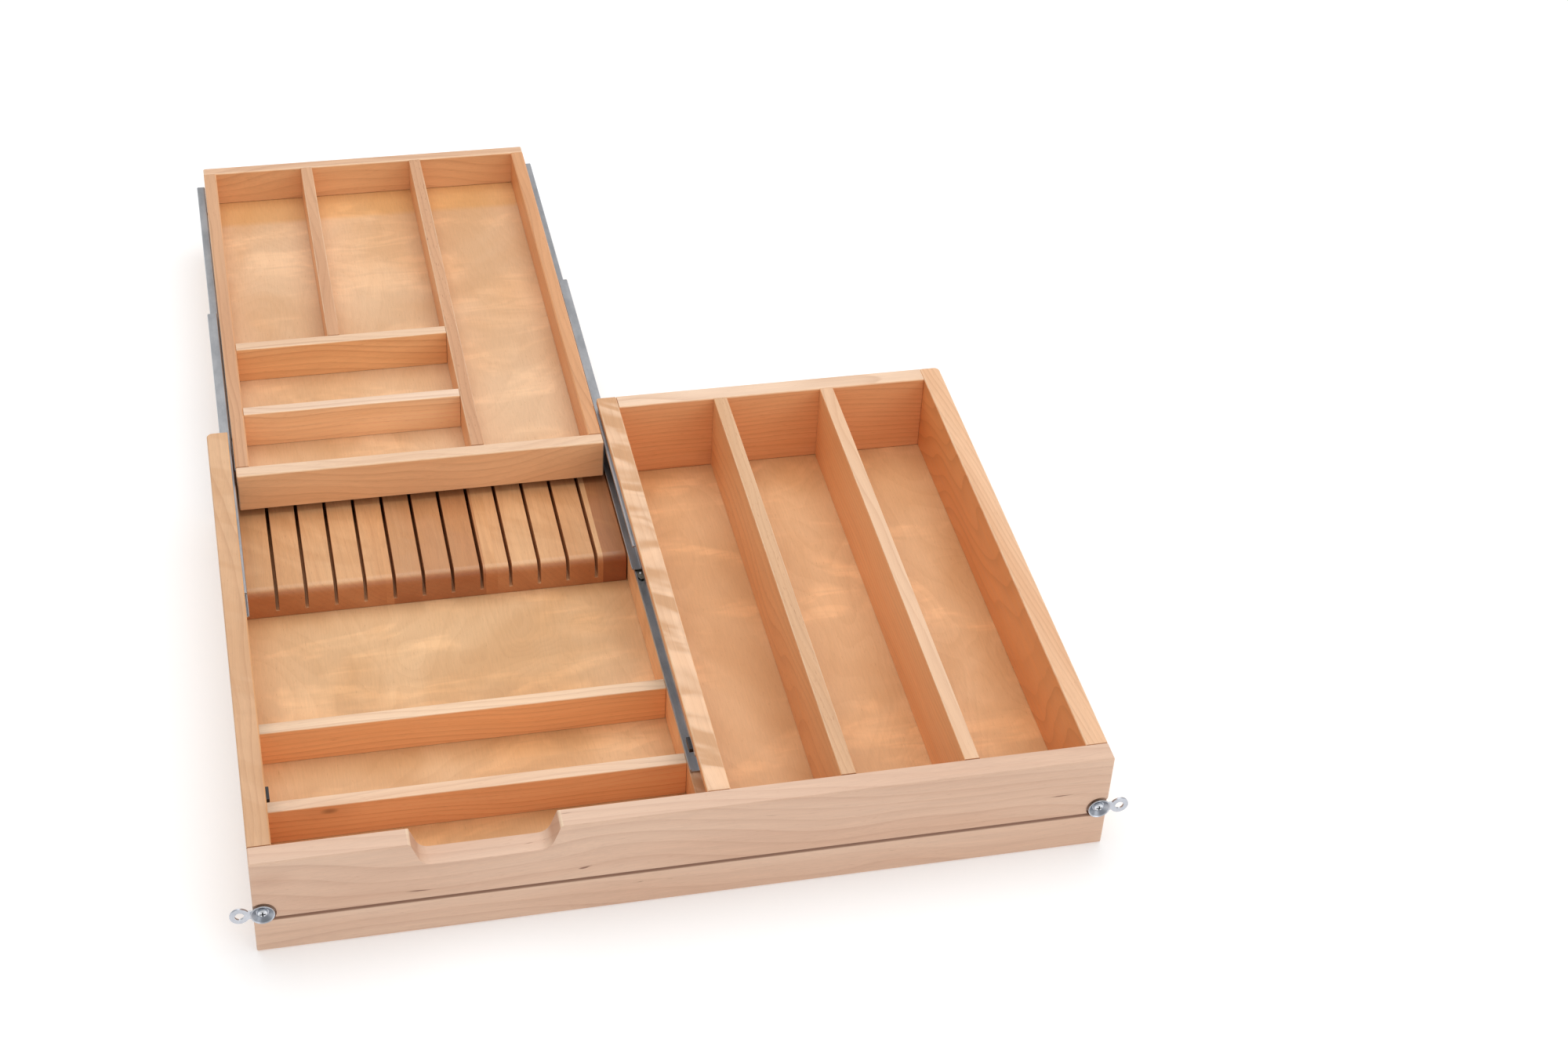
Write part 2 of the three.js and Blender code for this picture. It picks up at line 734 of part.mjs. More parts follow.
function buildTraySide(name, outer, inward) {
  const inside = outer + inward * tray_side_thick;
  let board = easedBoard(Math.min(outer, inside), Math.max(outer, inside), tray_inside_front + fit_gap,
    tray_inside_back - fit_gap, tray_bottom, tray_top);
  board = board.subtract(trayRabbet());
  const radius = screw_shank_radius + screw_hole_gap;
  const mouth = outer - inward;
  const deep = outer + inward * (tray_side_thick - tray_screw_cover);
  for (const y of innerScrewPlaces()) {
    board = board.subtract(turnedAlongX([[0, mouth], [radius, mouth], [radius, deep], [0, deep]],
      y, slide_centre_height));
  }
  addPart(name, board, maple);
}

function buildTrayFloor() {
  const reach = tray_rabbet - fit_gap;
  const board = easedBoard(tray_inside_left - reach, tray_inside_right + reach,
    tray_inside_front - reach, tray_inside_back + reach, tray_bottom, tray_floor_top, 0.3);
  addPart("tray_floor", board, plywood);
}

function buildTrayDividers() {
  const long_b = easedBoard(tray_divider_b, tray_divider_b + tray_divider_thick,
    tray_inside_front + fit_gap, tray_inside_back - fit_gap, tray_standing, tray_top, 0.8);
  addPart("tray_divider_long", long_b, maple);
  const long_a = easedBoard(tray_divider_a, tray_divider_a + tray_divider_thick,
    tray_cross_f + tray_divider_thick + fit_gap, tray_inside_back - fit_gap, tray_standing, tray_top, 0.8);
  addPart("tray_divider_short", long_a, maple);
  const x0 = tray_inside_left + fit_gap;
  const x1 = tray_divider_b - fit_gap;
  const cross_g = easedBoard(x0, x1, tray_cross_g, tray_cross_g + tray_divider_thick,
    tray_standing, tray_top, 0.8);
  addPart("tray_cross_front", cross_g, maple);
  const cross_f = easedBoard(x0, x1, tray_cross_f, tray_cross_f + tray_divider_thick,
    tray_standing, tray_top, 0.8);
  addPart("tray_cross_rear", cross_f, maple);
}

// Front fixing clips

function clipPlate(side) {
  const x = side * (box_width / 2 - clip_side_distance);
  const shape = new THREE.Shape();
  const ear = clip_ear_distance;
  const neck = 3.9;
  const reach = Math.sqrt(clip_ear_radius ** 2 - neck ** 2);
  const turn = Math.atan2(neck, -reach);
  shape.moveTo(0, neck);
  shape.lineTo(0, -neck);
  shape.lineTo(ear - reach - 2, -neck);
  shape.absarc(ear, 0, clip_ear_radius, -turn, turn, false);
  shape.lineTo(ear - reach - 2, neck);
  const hole = new THREE.Path();
  hole.absarc(ear, 0, clip_ear_hole_radius, 0, Math.PI * 2, true);
  shape.holes.push(hole);
  const geometry = new THREE.ExtrudeGeometry(shape, {
    depth: clip_plate_thick,
    bevelEnabled: false,
    curveSegments: 20,
  });
  geometry.rotateX(Math.PI / 2);
  if (side < 0) {
    geometry.rotateY(Math.PI);
  }
  geometry.translate(x, front_face + 1.0, clip_height);
  return solidFrom(geometry);
}

function clipCup(side) {
  const x = side * (box_width / 2 - clip_side_distance);
  const y = front_face;
  const r = clip_cup_radius;
  const hole = screw_shank_radius + screw_hole_gap;
  const profile = [
    [hole, y + 1.4],
    [r - 4.3, y + 1.4],
    [r - 0.9, y - 1.8],
    [r - 0.3, y - 2.2],
    [r, y - 1.7],
    [r - 0.1, y - 1.1],
    [r - 3.6, y + 2.6],
    [hole, y + 2.6],
    [hole, y + 1.4],
  ];
  return turnedAlongY(profile, x, clip_height, 28);
}

function buildClip(name, side) {
  const x = side * (box_width / 2 - clip_side_distance);
  const start = front_face - 5;
  const end = front_face + 5;
  const radius = clip_cup_radius - 1.8;
  const core = turnedAlongY([[0, start], [radius, start], [radius, end], [0, end]], x, clip_height, 28);
  const plate = clipPlate(side).subtract(core);
  addPart(name, clipCup(side).add(plate), zinc);
}

function buildClipScrew(name, side) {
  const x = side * (box_width / 2 - clip_side_distance);
  const y = front_face;
  const tip = front_inside - clip_screw_cover - screw_tip_gap;
  const head = clip_screw_head_radius;
  const profile = [
    [0, y - 1.5],
    [head * 0.55, y - 1.3],
    [head * 0.9, y - 0.5],
    [head, y + 0.3],
    [head, y + 1.1],
    [screw_shank_radius, y + 1.1],
    [screw_shank_radius, tip - 2],
    [0, tip],
  ];
  let screw = turnedAlongY(profile, x, clip_height, 20);
  screw = screw.subtract(cutter(x - 2.3, x + 2.3, y - 3, y, clip_height - 0.5, clip_height + 0.5));
  screw = screw.subtract(cutter(x - 0.5, x + 0.5, y - 3, y, clip_height - 2.3, clip_height + 2.3));
  addPart(name, screw, steel);
}

buildFrontPanel();
buildFrontRail();
buildLeftSide();
buildRightSide();
buildMiddleDivider();
buildBackPanel();
buildBackRail();
buildFloorPanel();
buildLongDividers();
buildLowDivider("low_divider_front", front_divider_distance);
buildLowDivider("low_divider_rear", rear_divider_distance);
buildKnifeBlock();
buildSlide("left", bay_left, 1, side_thick);
buildSlide("right", bay_right, -1, middle_thick);
buildTrayFront();
buildTrayBack();
buildTraySide("tray_side_left", tray_left, 1);
buildTraySide("tray_side_right", tray_right, -1);
buildTrayFloor();
buildTrayDividers();
buildClip("clip_left", -1);
buildClip("clip_right", 1);
buildClipScrew("clip_screw_left", -1);
buildClipScrew("clip_screw_right", 1);

export default organizer;
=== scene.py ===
"""Two-tier wooden drawer insert with a knife block and a sliding upper tray."""

import json
import math

import bmesh
import bpy
from mathutils import Matrix, Vector


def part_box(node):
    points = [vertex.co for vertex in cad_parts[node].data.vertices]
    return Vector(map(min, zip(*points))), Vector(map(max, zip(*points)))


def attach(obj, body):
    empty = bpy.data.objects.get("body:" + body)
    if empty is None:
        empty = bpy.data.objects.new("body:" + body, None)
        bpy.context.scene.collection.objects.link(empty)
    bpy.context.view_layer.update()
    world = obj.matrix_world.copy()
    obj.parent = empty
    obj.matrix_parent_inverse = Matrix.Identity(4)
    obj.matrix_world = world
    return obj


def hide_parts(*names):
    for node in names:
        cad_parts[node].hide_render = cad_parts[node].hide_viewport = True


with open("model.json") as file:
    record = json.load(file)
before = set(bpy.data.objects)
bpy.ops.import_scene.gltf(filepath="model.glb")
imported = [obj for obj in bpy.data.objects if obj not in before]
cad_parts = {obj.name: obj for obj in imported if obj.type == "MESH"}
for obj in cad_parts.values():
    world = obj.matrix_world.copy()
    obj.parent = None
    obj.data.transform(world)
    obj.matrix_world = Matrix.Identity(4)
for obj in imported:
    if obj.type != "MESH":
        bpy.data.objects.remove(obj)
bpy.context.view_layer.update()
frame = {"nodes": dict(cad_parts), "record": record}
NODES = frame["nodes"]
BODY_OF = {n: b for b, members in frame["record"]["behaviour"]["bodies"].items() for n in members}
MM = 0.001
# The painted bounce light and shade on the faces inside the bays: its tints are all lifted by this much.
PAINTED_SHADE_LIFT = 1.16


def rgb(r, g, b):
    """A colour given as 0-255 display values, as linear light."""
    out = []
    for v in (r, g, b):
        v /= 255.0
        out.append(v / 12.92 if v <= 0.04045 else ((v + 0.055) / 1.055) ** 2.4)
    return (*out, 1.0)


# ---------------------------------------------------------------- materials
class Tree:
    """Short calls for making a node material."""

    def __init__(self, name):
        self.material = bpy.data.materials.new(name)
        self.material.use_nodes = True
        self.tree = self.material.node_tree
        self.tree.nodes.clear()
        self.output = self.node("ShaderNodeOutputMaterial")
        self.shader = self.node("ShaderNodeBsdfPrincipled")
        self.tree.links.new(self.shader.outputs[0], self.output.inputs["Surface"])

    def node(self, kind, **props):
        n = self.tree.nodes.new(kind)
        for k, v in props.items():
            setattr(n, k, v)
        return n

    def put(self, socket, value):
        if isinstance(value, bpy.types.NodeSocket):
            self.tree.links.new(value, socket)
        elif value is not None:
            socket.default_value = value

    def math(self, op, a, b=None, c=None):
        n = self.node("ShaderNodeMath", operation=op)
        for socket, value in zip(n.inputs, (a, b, c)):
            self.put(socket, value)
        return n.outputs[0]

    def times(self, a, b):
        return self.math("MULTIPLY", a, b)

    def plus(self, a, b):
        return self.math("ADD", a, b)

    def less(self, a, b):
        return self.math("SUBTRACT", a, b)

    def xyz(self, x, y, z):
        n = self.node("ShaderNodeCombineXYZ")
        for s, v in zip(n.inputs, (x, y, z)):
            self.put(s, v)
        return n.outputs[0]

    def split(self, vector):
        n = self.node("ShaderNodeSeparateXYZ")
        self.put(n.inputs[0], vector)
        return n.outputs

    def scaled(self, point, scales):
        """A point with each coordinate multiplied; a plain number in it stays as it is."""
        return self.xyz(*(self.times(v, s) if isinstance(v, bpy.types.NodeSocket) else v
                          for v, s in zip(point, scales)))

    def noise(self, point, scales, detail=2.0, rough=0.5, distortion=0.0, color=False):
        """Noise at a point, with its scales in cycles per metre."""
        n = self.node("ShaderNodeTexNoise")
        self.put(n.inputs["Vector"], self.scaled(point, scales))
        self.put(n.inputs["Scale"], 1.0)
        self.put(n.inputs["Detail"], detail)
        self.put(n.inputs["Roughness"], rough)
        self.put(n.inputs["Distortion"], distortion)
        return n.outputs["Color" if color else "Fac"]

    def noise1(self, w, scale, detail, rough):
        n = self.node("ShaderNodeTexNoise", noise_dimensions="1D")
        self.put(n.inputs["W"], w)
        self.put(n.inputs["Scale"], scale)
        self.put(n.inputs["Detail"], detail)
        self.put(n.inputs["Roughness"], rough)
        return n.outputs["Fac"]

    def step(self, value, low, high, out_low=0.0, out_high=1.0):
        n = self.node("ShaderNodeMapRange", interpolation_type="SMOOTHSTEP")
        self.put(n.inputs["Value"], value)
        for k, v in (("From Min", low), ("From Max", high), ("To Min", out_low), ("To Max", out_high)):
            self.put(n.inputs[k], v)
        return n.outputs[0]

    def mix(self, fac, a, b, mode="MIX"):
        n = self.node("ShaderNodeMix", data_type="RGBA", blend_type=mode)
        self.put(n.inputs["Factor"], fac)
        self.put(n.inputs[6], a)
        self.put(n.inputs[7], b)
        return n.outputs[2]

    def shade(self, color, value):
        """A colour made lighter or darker by a value near 1."""
        return self.mix(1.0, color, self.xyz(value, value, value), "MULTIPLY")

    def edge(self):
        """1 on the rounded arrises, as mark_edges() sets it."""
        return self.node("ShaderNodeAttribute", attribute_name="edge").outputs["Fac"]

    def object_xyz(self):
        return self.split(self.node("ShaderNodeTexCoord").outputs["Object"])

    def normal(self):
        return self.split(self.node("ShaderNodeTexCoord").outputs["Normal"])

    def away(self, x, z, centre_x, centre_z):
        """Distance from a line along Y."""
        pairs = ((x, centre_x), (z, centre_z))
        squares = [self.math("POWER", self.less(v, centre), 2.0) for v, centre in pairs]
        return self.math("SQRT", self.plus(*squares))

    def finish(self, color, roughness, height, strength, distance, coat=0.0, coat_roughness=0.0):
        """Joins the colour, the roughness and the bump to the shader."""
        self.put(self.shader.inputs["Base Color"], color)
        self.put(self.shader.inputs["Roughness"], roughness)
        if coat:
            self.shader.inputs["Coat Weight"].default_value = coat
            self.shader.inputs["Coat Roughness"].default_value = coat_roughness
        n = self.node("ShaderNodeBump")
        self.put(n.inputs["Height"], height)
        self.put(n.inputs["Strength"], strength)
        self.put(n.inputs["Distance"], distance)
        self.put(self.shader.inputs["Normal"], n.outputs[0])
        return self.material


# Noise scales of solid wood in cycles per metre: along the grain, then twice across it.
DRIFT = (3.0, 9.0, 9.0)
FIBRE = (30.0, 1500.0, 1500.0)
STRAND = (7.0, 260.0, 260.0)
CLOUD = (2.2, 16.0, 16.0)
CURL = (26.0, 12.0, 9.0)
FLECK = (130.0, 1500.0, 1500.0)
STREAK = (16.0, 330.0, 330.0)
KNOT = (9.0, 22.0, 22.0)
RUB = (60.0, 60.0, 60.0)
# Shifts of the grain from one glued strip to the next, along and across, for a full step of tone.
STRIP_SHIFT = (3.7, 0.31)
STREAK_BROWN = (112, 66, 40)
KNOT_BROWN = (92, 52, 30)
JOINT_SHADE_BROWN = (120, 68, 38)
CURL_TONE = (212, 146, 82)


def strip_ramp(t, across, strips):
    """The tone of the glued strip at each place. Strips are (low, high, [(start share, tone), ...])."""
    ramp = t.node("ShaderNodeValToRGB")
    ramp.color_ramp.interpolation = "CONSTANT"
    low, high, stops = strips
    while len(ramp.color_ramp.elements) < len(stops):
        ramp.color_ramp.elements.new(0.5)
    for e, (at, value) in zip(ramp.color_ramp.elements, stops):
        e.position = at
        e.color = (value, value, value, 1.0)
    t.put(ramp.inputs[0], t.times(t.less(across, low), 1.0 / (high - low)))
    return ramp.outputs[0]


def add_knots(t, color, point, knots, line):
    spot = t.node("ShaderNodeTexVoronoi", feature="F1")
    t.put(spot.inputs["Vector"], t.scaled(point, KNOT))
    t.put(spot.inputs["Scale"], 1.0)
    t.put(spot.inputs["Randomness"], 1.0)
    rare = t.step(t.split(spot.outputs["Color"])[0], 0.70, 0.74)
    near = t.step(spot.outputs["Distance"], 0.085, 0.02)
    halo = t.step(spot.outputs["Distance"], 0.30, 0.03)
    color = t.mix(t.times(t.times(halo, rare), knots * 0.35), color, rgb(*line))
    return t.mix(t.times(t.times(near, rare), knots), color, rgb(*KNOT_BROWN))


def wood(name, grain, light, deep, line, painted_shade_tint, seed, pith, rings, ring_amount, painted_shade_facings=(), tilt=(0.02, 0.015),
         warp=0.010, curl=0.0, flecks=0.25, knots=0.0, streaks=0.3, fibre=0.10, joint_shade=None, strips=None,
         edge_tone=(250, 224, 190), edge_wear_and_highlight=0.55, end_dark=0.30):
    """Solid wood: growth rings about a pith line, fibres, pores, flecks and tone changes.
    The faces that look along the listed directions carry painted bounce light and shade, as a tint that
    multiplies their colour."""
    t = Tree(name)
    x, y, z = t.object_xyz()
    a, b, c = (x, y, z) if grain == "x" else (y, x, z)
    strip_tone = None
    if strips:
        # Edge-glued strips: each has its own tone and its own stretch of grain.
        strip_tone = strip_ramp(t, b, strips)
        a = t.plus(a, t.times(strip_tone, STRIP_SHIFT[0]))
        c = t.plus(c, t.times(strip_tone, STRIP_SHIFT[1]))
    a = t.plus(a, seed)
    drift = t.split(t.noise((a, b, c), DRIFT, color=True))
    wb = t.math("MULTIPLY_ADD", t.less(drift[0], 0.5), warp * 4, b)
    wc = t.math("MULTIPLY_ADD", t.less(drift[1], 0.5), warp * 4, c)
    # Growth rings, each with a thin dark late band.
    rb = t.plus(t.math("MULTIPLY_ADD", a, tilt[0], wb), pith[0])
    rc = t.plus(t.math("MULTIPLY_ADD", a, tilt[1], wc), pith[1])
    radius = t.math("SQRT", t.plus(t.times(rb, rb), t.times(rc, rc)))
    saw = t.math("FRACT", t.times(radius, rings))
    late = t.times(t.math("POWER", saw, 3.0), t.step(saw, 1.0, 0.93))
    strength = t.noise1(radius, rings * 0.37, 2.0, 0.6)
    ring = t.times(late, t.step(strength, 0.25, 0.75, 0.25, 1.0))
    band = t.noise1(radius, rings * 0.16, 2.0, 0.6)
    fine = t.noise((a, wb, wc), FIBRE, 3.0, 0.6)
    coarse = t.noise((a, wb, wc), STRAND, 3.0, 0.6)
    broad = t.noise((a, wb, wc), CLOUD)
    tone = t.plus(t.times(t.step(broad, 0.3, 0.7), 0.55), t.times(t.step(band, 0.25, 0.75), 0.45))
    color = t.mix(tone, rgb(*light), rgb(*deep))
    if strip_tone is not None:
        color = t.mix(t.step(strip_tone, 0.0, 1.0, 0.0, 0.62), color, rgb(*line))
    color = t.mix(t.times(ring, ring_amount), color, rgb(*line))
    fine_part = t.times(t.less(fine, 0.5), fibre * 2.2)
    coarse_part = t.times(t.less(coarse, 0.5), fibre * 1.8)
    value = t.plus(1.0, t.plus(fine_part, coarse_part))
    if curl:
        # The curl shows most where the light falls on it, on the faces that look up.
        wave = t.noise((t.math("MULTIPLY_ADD", b, 0.5, a), b, c), CURL, distortion=0.8)
        up = t.step(t.normal()[2], 0.3, 0.8, 0.35, 1.0)
        trough = t.times(t.step(wave, 0.52, 0.40), t.times(up, min(1.0, curl * 3.0)))
        color = t.mix(trough, color, t.mix(0.6, rgb(*deep), rgb(*CURL_TONE)))
        crest = t.less(t.step(wave, 0.38, 0.62), 0.5)
        value = t.plus(value, t.times(crest, t.times(up, curl)))
    color = t.shade(color, value)
    fleck = t.noise((a, b, c), FLECK, 1.0)
    color = t.mix(t.times(t.step(fleck, 0.64, 0.80), flecks), color, rgb(*line))
    streak = t.noise((a, wb, wc), STREAK, distortion=0.4)
    color = t.mix(t.times(t.step(streak, 0.735, 0.80), streaks), color, rgb(*STREAK_BROWN))
    if knots:
        color = add_knots(t, color, (a, b, c), knots, line)
    n = t.normal()
    # Painted bounce light and shade: faces that look along these directions are multiplied by a tint.
    for dx, dy in painted_shade_facings:
        facing = t.plus(t.times(n[0], dx), t.times(n[1], dy))
        painted_shade = (*(PAINTED_SHADE_LIFT * v for v in painted_shade_tint), 1.0)
        color = t.mix(t.step(facing, 0.45, 0.85), color, t.mix(1.0, color, painted_shade, "MULTIPLY"))
    # Cut ends drink more finish and go darker.
    end = t.math("ABSOLUTE", n[0] if grain == "x" else n[1])
    color = t.mix(t.times(t.step(end, 0.75, 0.98), end_dark), color, rgb(*line))
    if joint_shade:
        # The joint's own dark line, widened by painted shade either side of it.
        height, half_width, deepest = joint_shade
        off = t.math("ABSOLUTE", t.less(z, height))
        color = t.mix(t.step(off, half_width, half_width * 0.35, 0.0, deepest), color, rgb(*JOINT_SHADE_BROWN))
    # Sanded arrises are paler, with a painted highlight on them too, more in some places than in others.
    worn = t.times(t.edge(), t.step(t.noise((x, y, z), RUB), 0.25, 0.7, 0.35, 0.85))
    color = t.mix(t.times(worn, edge_wear_and_highlight), color, rgb(*edge_tone))
    height = t.less(t.plus(fine, t.times(coarse, 0.7)), ring)
    roughness = t.plus(0.44, t.times(t.less(coarse, 0.5), 0.22))
    return t.finish(color, roughness, height, 0.16, 0.00025, 0.12, 0.28)


# Noise scales of a veneer in cycles per metre, along and across its grain. The third is not used.
SWIRL = (3.2, 6.5, 1.0)
PORES = (150.0, 1100.0, 1.0)
VENEER_FIBRE = (60.0, 700.0, 1.0)
VENEER_CLOUD = (5.0, 7.0, 1.0)
PATCH = (13.0, 7.0, 1.0)
RIPPLE = (70.0, 16.0, 1.0)
BACK_SHADE_GOLD = (216, 158, 88)
VENEER_THICK = 0.0014


def plywood(name, light, deep, line=(176, 122, 72), seed=0.0, figure=0.12, glare=0.16, band=None):
    """Rotary-cut birch face veneer, its grain along Y: short pores, wavy contour figure and pale patches of
    painted glare.
    A band (place, half width of its soft edge, amount) is painted shade: a darker golden strip at the back."""
    t = Tree(name)
    x, y, z = t.object_xyz()
    a, b = t.plus(y, seed), x
    swirl = t.noise((a, b, 0.0), SWIRL, distortion=0.6)
    contour = t.math("FRACT", t.times(swirl, 26.0))
    contour = t.times(t.math("POWER", contour, 2.0), t.step(contour, 1.0, 0.9))
    pores = t.noise((a, b, 0.0), PORES, 2.0, 0.6)
    fine = t.noise((a, b, 0.0), VENEER_FIBRE, 3.0, 0.65)
    broad = t.noise((a, b, 0.0), VENEER_CLOUD, 3.0, 0.55, 0.5)
    patch = t.noise((a, b, 3.0), PATCH, 3.0, 0.55, 1.0)
    color = t.mix(t.step(broad, 0.32, 0.68), rgb(*light), rgb(*deep))
    if band:
        # Painted shade at the back of the floor, near the tray's back board.
        at, half_width, amount = band
        color = t.mix(t.step(a, at - half_width, at + half_width, 0.0, amount), color, rgb(*BACK_SHADE_GOLD))
    color = t.mix(t.times(contour, figure), color, rgb(*line))
    # Painted glare: rippled patches made lighter where the veneer would shimmer in the light.
    ripple = t.noise((a, b, 1.0), RIPPLE, distortion=1.2)
    shimmer = t.times(t.step(patch, 0.48, 0.64), t.step(ripple, 0.35, 0.62, 0.35, 1.0))
    value = t.plus(t.math("MULTIPLY_ADD", t.less(fine, 0.5), 0.24, 1.0), t.times(shimmer, glare))
    color = t.shade(color, value)
    color = t.mix(t.times(t.step(pores, 0.63, 0.75), 0.40), color, rgb(*line))
    # The veneers show as thin stripes on the panel's edge.
    side = t.step(t.math("ABSOLUTE", t.normal()[2]), 0.7, 0.4)
    ply = t.math("FRACT", t.times(z, 1.0 / VENEER_THICK))
    stripes = t.mix(t.step(ply, 0.45, 0.55), rgb(226, 186, 140), rgb(176, 124, 80))
    color = t.mix(side, color, stripes)
    return t.finish(color, t.plus(0.36, t.times(fine, 0.16)), t.plus(fine, t.times(pores, 0.6)), 0.14, 0.0002,
                    0.15, 0.25)


# Noise scales of metal and plastic in cycles per metre, along X, Y and Z.
DRAWN = (900.0, 14.0, 900.0)
TUMBLED = (500.0, 500.0, 500.0)
PASSIVATION = (60.0, 26.0, 60.0)
SPOTS = (420.0, 420.0, 420.0)
GRIT = (2600.0, 2600.0, 2600.0)
HANDLED = (90.0, 90.0, 90.0)


def plated(name, tone, dull, roughness, streaks=DRAWN, shaded_cups=(), shaded_hollows=()):
    """Zinc-plated steel: drawn streaks, cloudy passivation and small rubbed spots.
    A cup (x, z, inner radius, outer radius) is a ring of painted shade and reflection in the clip's cone. A
    hollow (x, z, radius, y) is painted shade, dark beyond y."""
    t = Tree(name)
    x, y, z = t.object_xyz()
    drawn = t.noise((x, y, z), streaks, 3.0, 0.6)
    cloud = t.noise((x, y, z), PASSIVATION, 4.0, 0.6)
    spots = t.noise((x, y, z), SPOTS, 2.0, 0.6)
    fac = t.plus(t.times(t.step(cloud, 0.3, 0.7), 0.6), t.times(drawn, 0.4))
    color = t.mix(fac, rgb(*tone), rgb(*dull))
    for centre_x, centre_z, inner, outer in shaded_cups:
        away = t.away(x, z, centre_x, centre_z)
        soft = 0.5 * MM
        ring = t.times(t.step(away, inner, inner + soft), t.step(away, outer, outer - soft))
        low_side = t.step(t.plus(z, t.times(cloud, 4 * MM)), centre_z + 3 * MM, centre_z - 5 * MM)
        high_side = t.step(z, centre_z + 1 * MM, centre_z + 5 * MM)
        # Painted shade and reflection in the clip's cone: the ring goes darker, more on its lower and upper
        # sides.
        color = t.mix(t.times(ring, 0.30), color, rgb(120, 128, 138))
        color = t.mix(t.times(ring, t.times(low_side, 0.45)), color, rgb(84, 90, 100))
        color = t.mix(t.times(ring, t.times(high_side, 0.35)), color, rgb(96, 104, 112))
    for centre_x, centre_z, within, below in shaded_hollows:
        away = t.away(x, z, centre_x, centre_z)
        dark = t.times(t.step(away, within, within - 0.1 * MM), t.step(y, below, below + 0.3 * MM))
        # Painted shade in the screw's cross recess.
        color = t.mix(dark, color, rgb(34, 36, 44))
    # Painted highlight along the rounded folds and cut edges.
    color = t.mix(t.times(t.edge(), 0.45), color, rgb(206, 210, 215))
    t.shader.inputs["Metallic"].default_value = 1.0
    worn = t.plus(roughness, t.math("MULTIPLY_ADD", drawn, 0.16, t.times(spots, 0.08)))
    return t.finish(color, worn, t.plus(drawn, t.times(spots, 0.4)), 0.12, 0.0001)


def plastic(name, tone):
    """Moulded black plastic with a fine spark-eroded texture."""
    t = Tree(name)
    x, y, z = t.object_xyz()
    grit = t.noise((x, y, z), GRIT, 3.0, 0.7)
    soft = t.noise((x, y, z), HANDLED)
    color = t.mix(t.times(soft, 0.8), rgb(*tone), rgb(46, 46, 50))
    # Painted highlight on the rounded edges.
    color = t.mix(t.times(t.edge(), 0.35), color, rgb(84, 84, 88))
    return t.finish(color, t.math("MULTIPLY_ADD", grit, 0.22, 0.36), grit, 0.25, 0.00012)


# ---------------------------------------------------------------- shapes
# Millimetres of a board's end that hold its easing, and how far the squared end closes its joint.
EASED_END = 1.05
JOINT_CLOSED = 0.18
# Vertices nearer than this, in metres, are one.
SAME_PLACE = 4e-6
# Faces that meet at less than this, in degrees, lie in one plane.
FLAT_ANGLE = 0.6
# Radius of a divider's two top arrises, in millimetres.
DIVIDER_ROUND = 1.1


def square_end(bm, axis, at, inward):
    """Takes the easing off one end of a board, and closes the joint where it butts against its neighbour."""
    normal = Vector((0.0, 0.0, 0.0))
    normal[axis] = -inward
    origin = Vector((0.0, 0.0, 0.0))
    origin[axis] = at + inward * EASED_END * MM
    bmesh.ops.bisect_plane(bm, geom=bm.verts[:] + bm.edges[:] + bm.faces[:], dist=1e-6, plane_co=origin,
                           plane_no=normal, clear_outer=True)
    rim = [e for e in bm.edges if e.is_boundary]
    for v in {v for e in rim for v in e.verts}:
        v.co[axis] = at - inward * JOINT_CLOSED * MM
    bmesh.ops.holes_fill(bm, edges=rim, sides=0)


def mark_edges(bm, narrow=0.85):
    """Sets "edge" to 1 on vertices that only faces narrower than this many millimetres share: the arrises."""
    layer = bm.verts.layers.float.new("edge")
    thin = set()
    for f in bm.faces:
        longest = max(e.calc_length() for e in f.edges)
        if longest > 0.0 and f.calc_area() / longest < narrow * MM:
            thin.add(f)
    for v in bm.verts:
        v[layer] = 1.0 if v.link_faces and all(f in thin for f in v.link_faces) else 0.0


def dressed(node, radius, segments=3, angle=24.0, squares=()):
    """The CAD node's own shape with every sharp edge rounded over.
    Squares are the (axis, side) of its butting ends."""
    bm = bmesh.new()
    bm.from_mesh(NODES[node].data)
    bmesh.ops.remove_doubles(bm, verts=bm.verts[:], dist=SAME_PLACE)
    bmesh.ops.dissolve_limit(bm, angle_limit=math.radians(FLAT_ANGLE), verts=bm.verts[:], edges=bm.edges[:],
                             use_dissolve_boundaries=False, delimit=set())
    low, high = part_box(node)
    for axis, side in squares:
        square_end(bm, axis, low[axis] if side < 0 else high[axis], -side)
    bmesh.ops.recalc_face_normals(bm, faces=bm.faces[:])
    bm.normal_update()
    sharp = [e for e in bm.edges if len(e.link_faces) == 2 and e.calc_face_angle(0.0) > math.radians(angle)]
    bmesh.ops.bevel(bm, geom=sharp, offset=radius * MM, offset_type="OFFSET", segments=segments,
                    profile=0.5, affect="EDGES", clamp_overlap=True, miter_outer="SHARP")
    bm.normal_update()
    return bm


def to_object(name, bm, body, material, smooth_angle=35.0, replaced=()):
    """Makes a piece of the mesh, and tells the frame which body it rides on and which nodes it replaces."""
    mesh = bpy.data.meshes.new(name)
    bm.to_mesh(mesh)
    bm.free()
    ob = bpy.data.objects.new(name, mesh)
    bpy.context.scene.collection.objects.link(ob)
    mesh.materials.append(material)
    for p in mesh.polygons:
        p.use_smooth = True
    mesh.set_sharp_from_angle(angle=math.radians(smooth_angle))
    weighted = ob.modifiers.new("Weighted", "WEIGHTED_NORMAL")
    weighted.keep_sharp = True
    weighted.weight = 80
    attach(ob, body)
    if replaced:
        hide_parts(*replaced)


def board(node, material, radius=0.45, squares=()):
    """A machined wooden board: the CAD shape with softened arrises and square butting ends."""
    bm = dressed(node, radius, squares=squares)
    mark_edges(bm)
    to_object(node + "_finished", bm, BODY_OF[node], material, replaced=(node,))


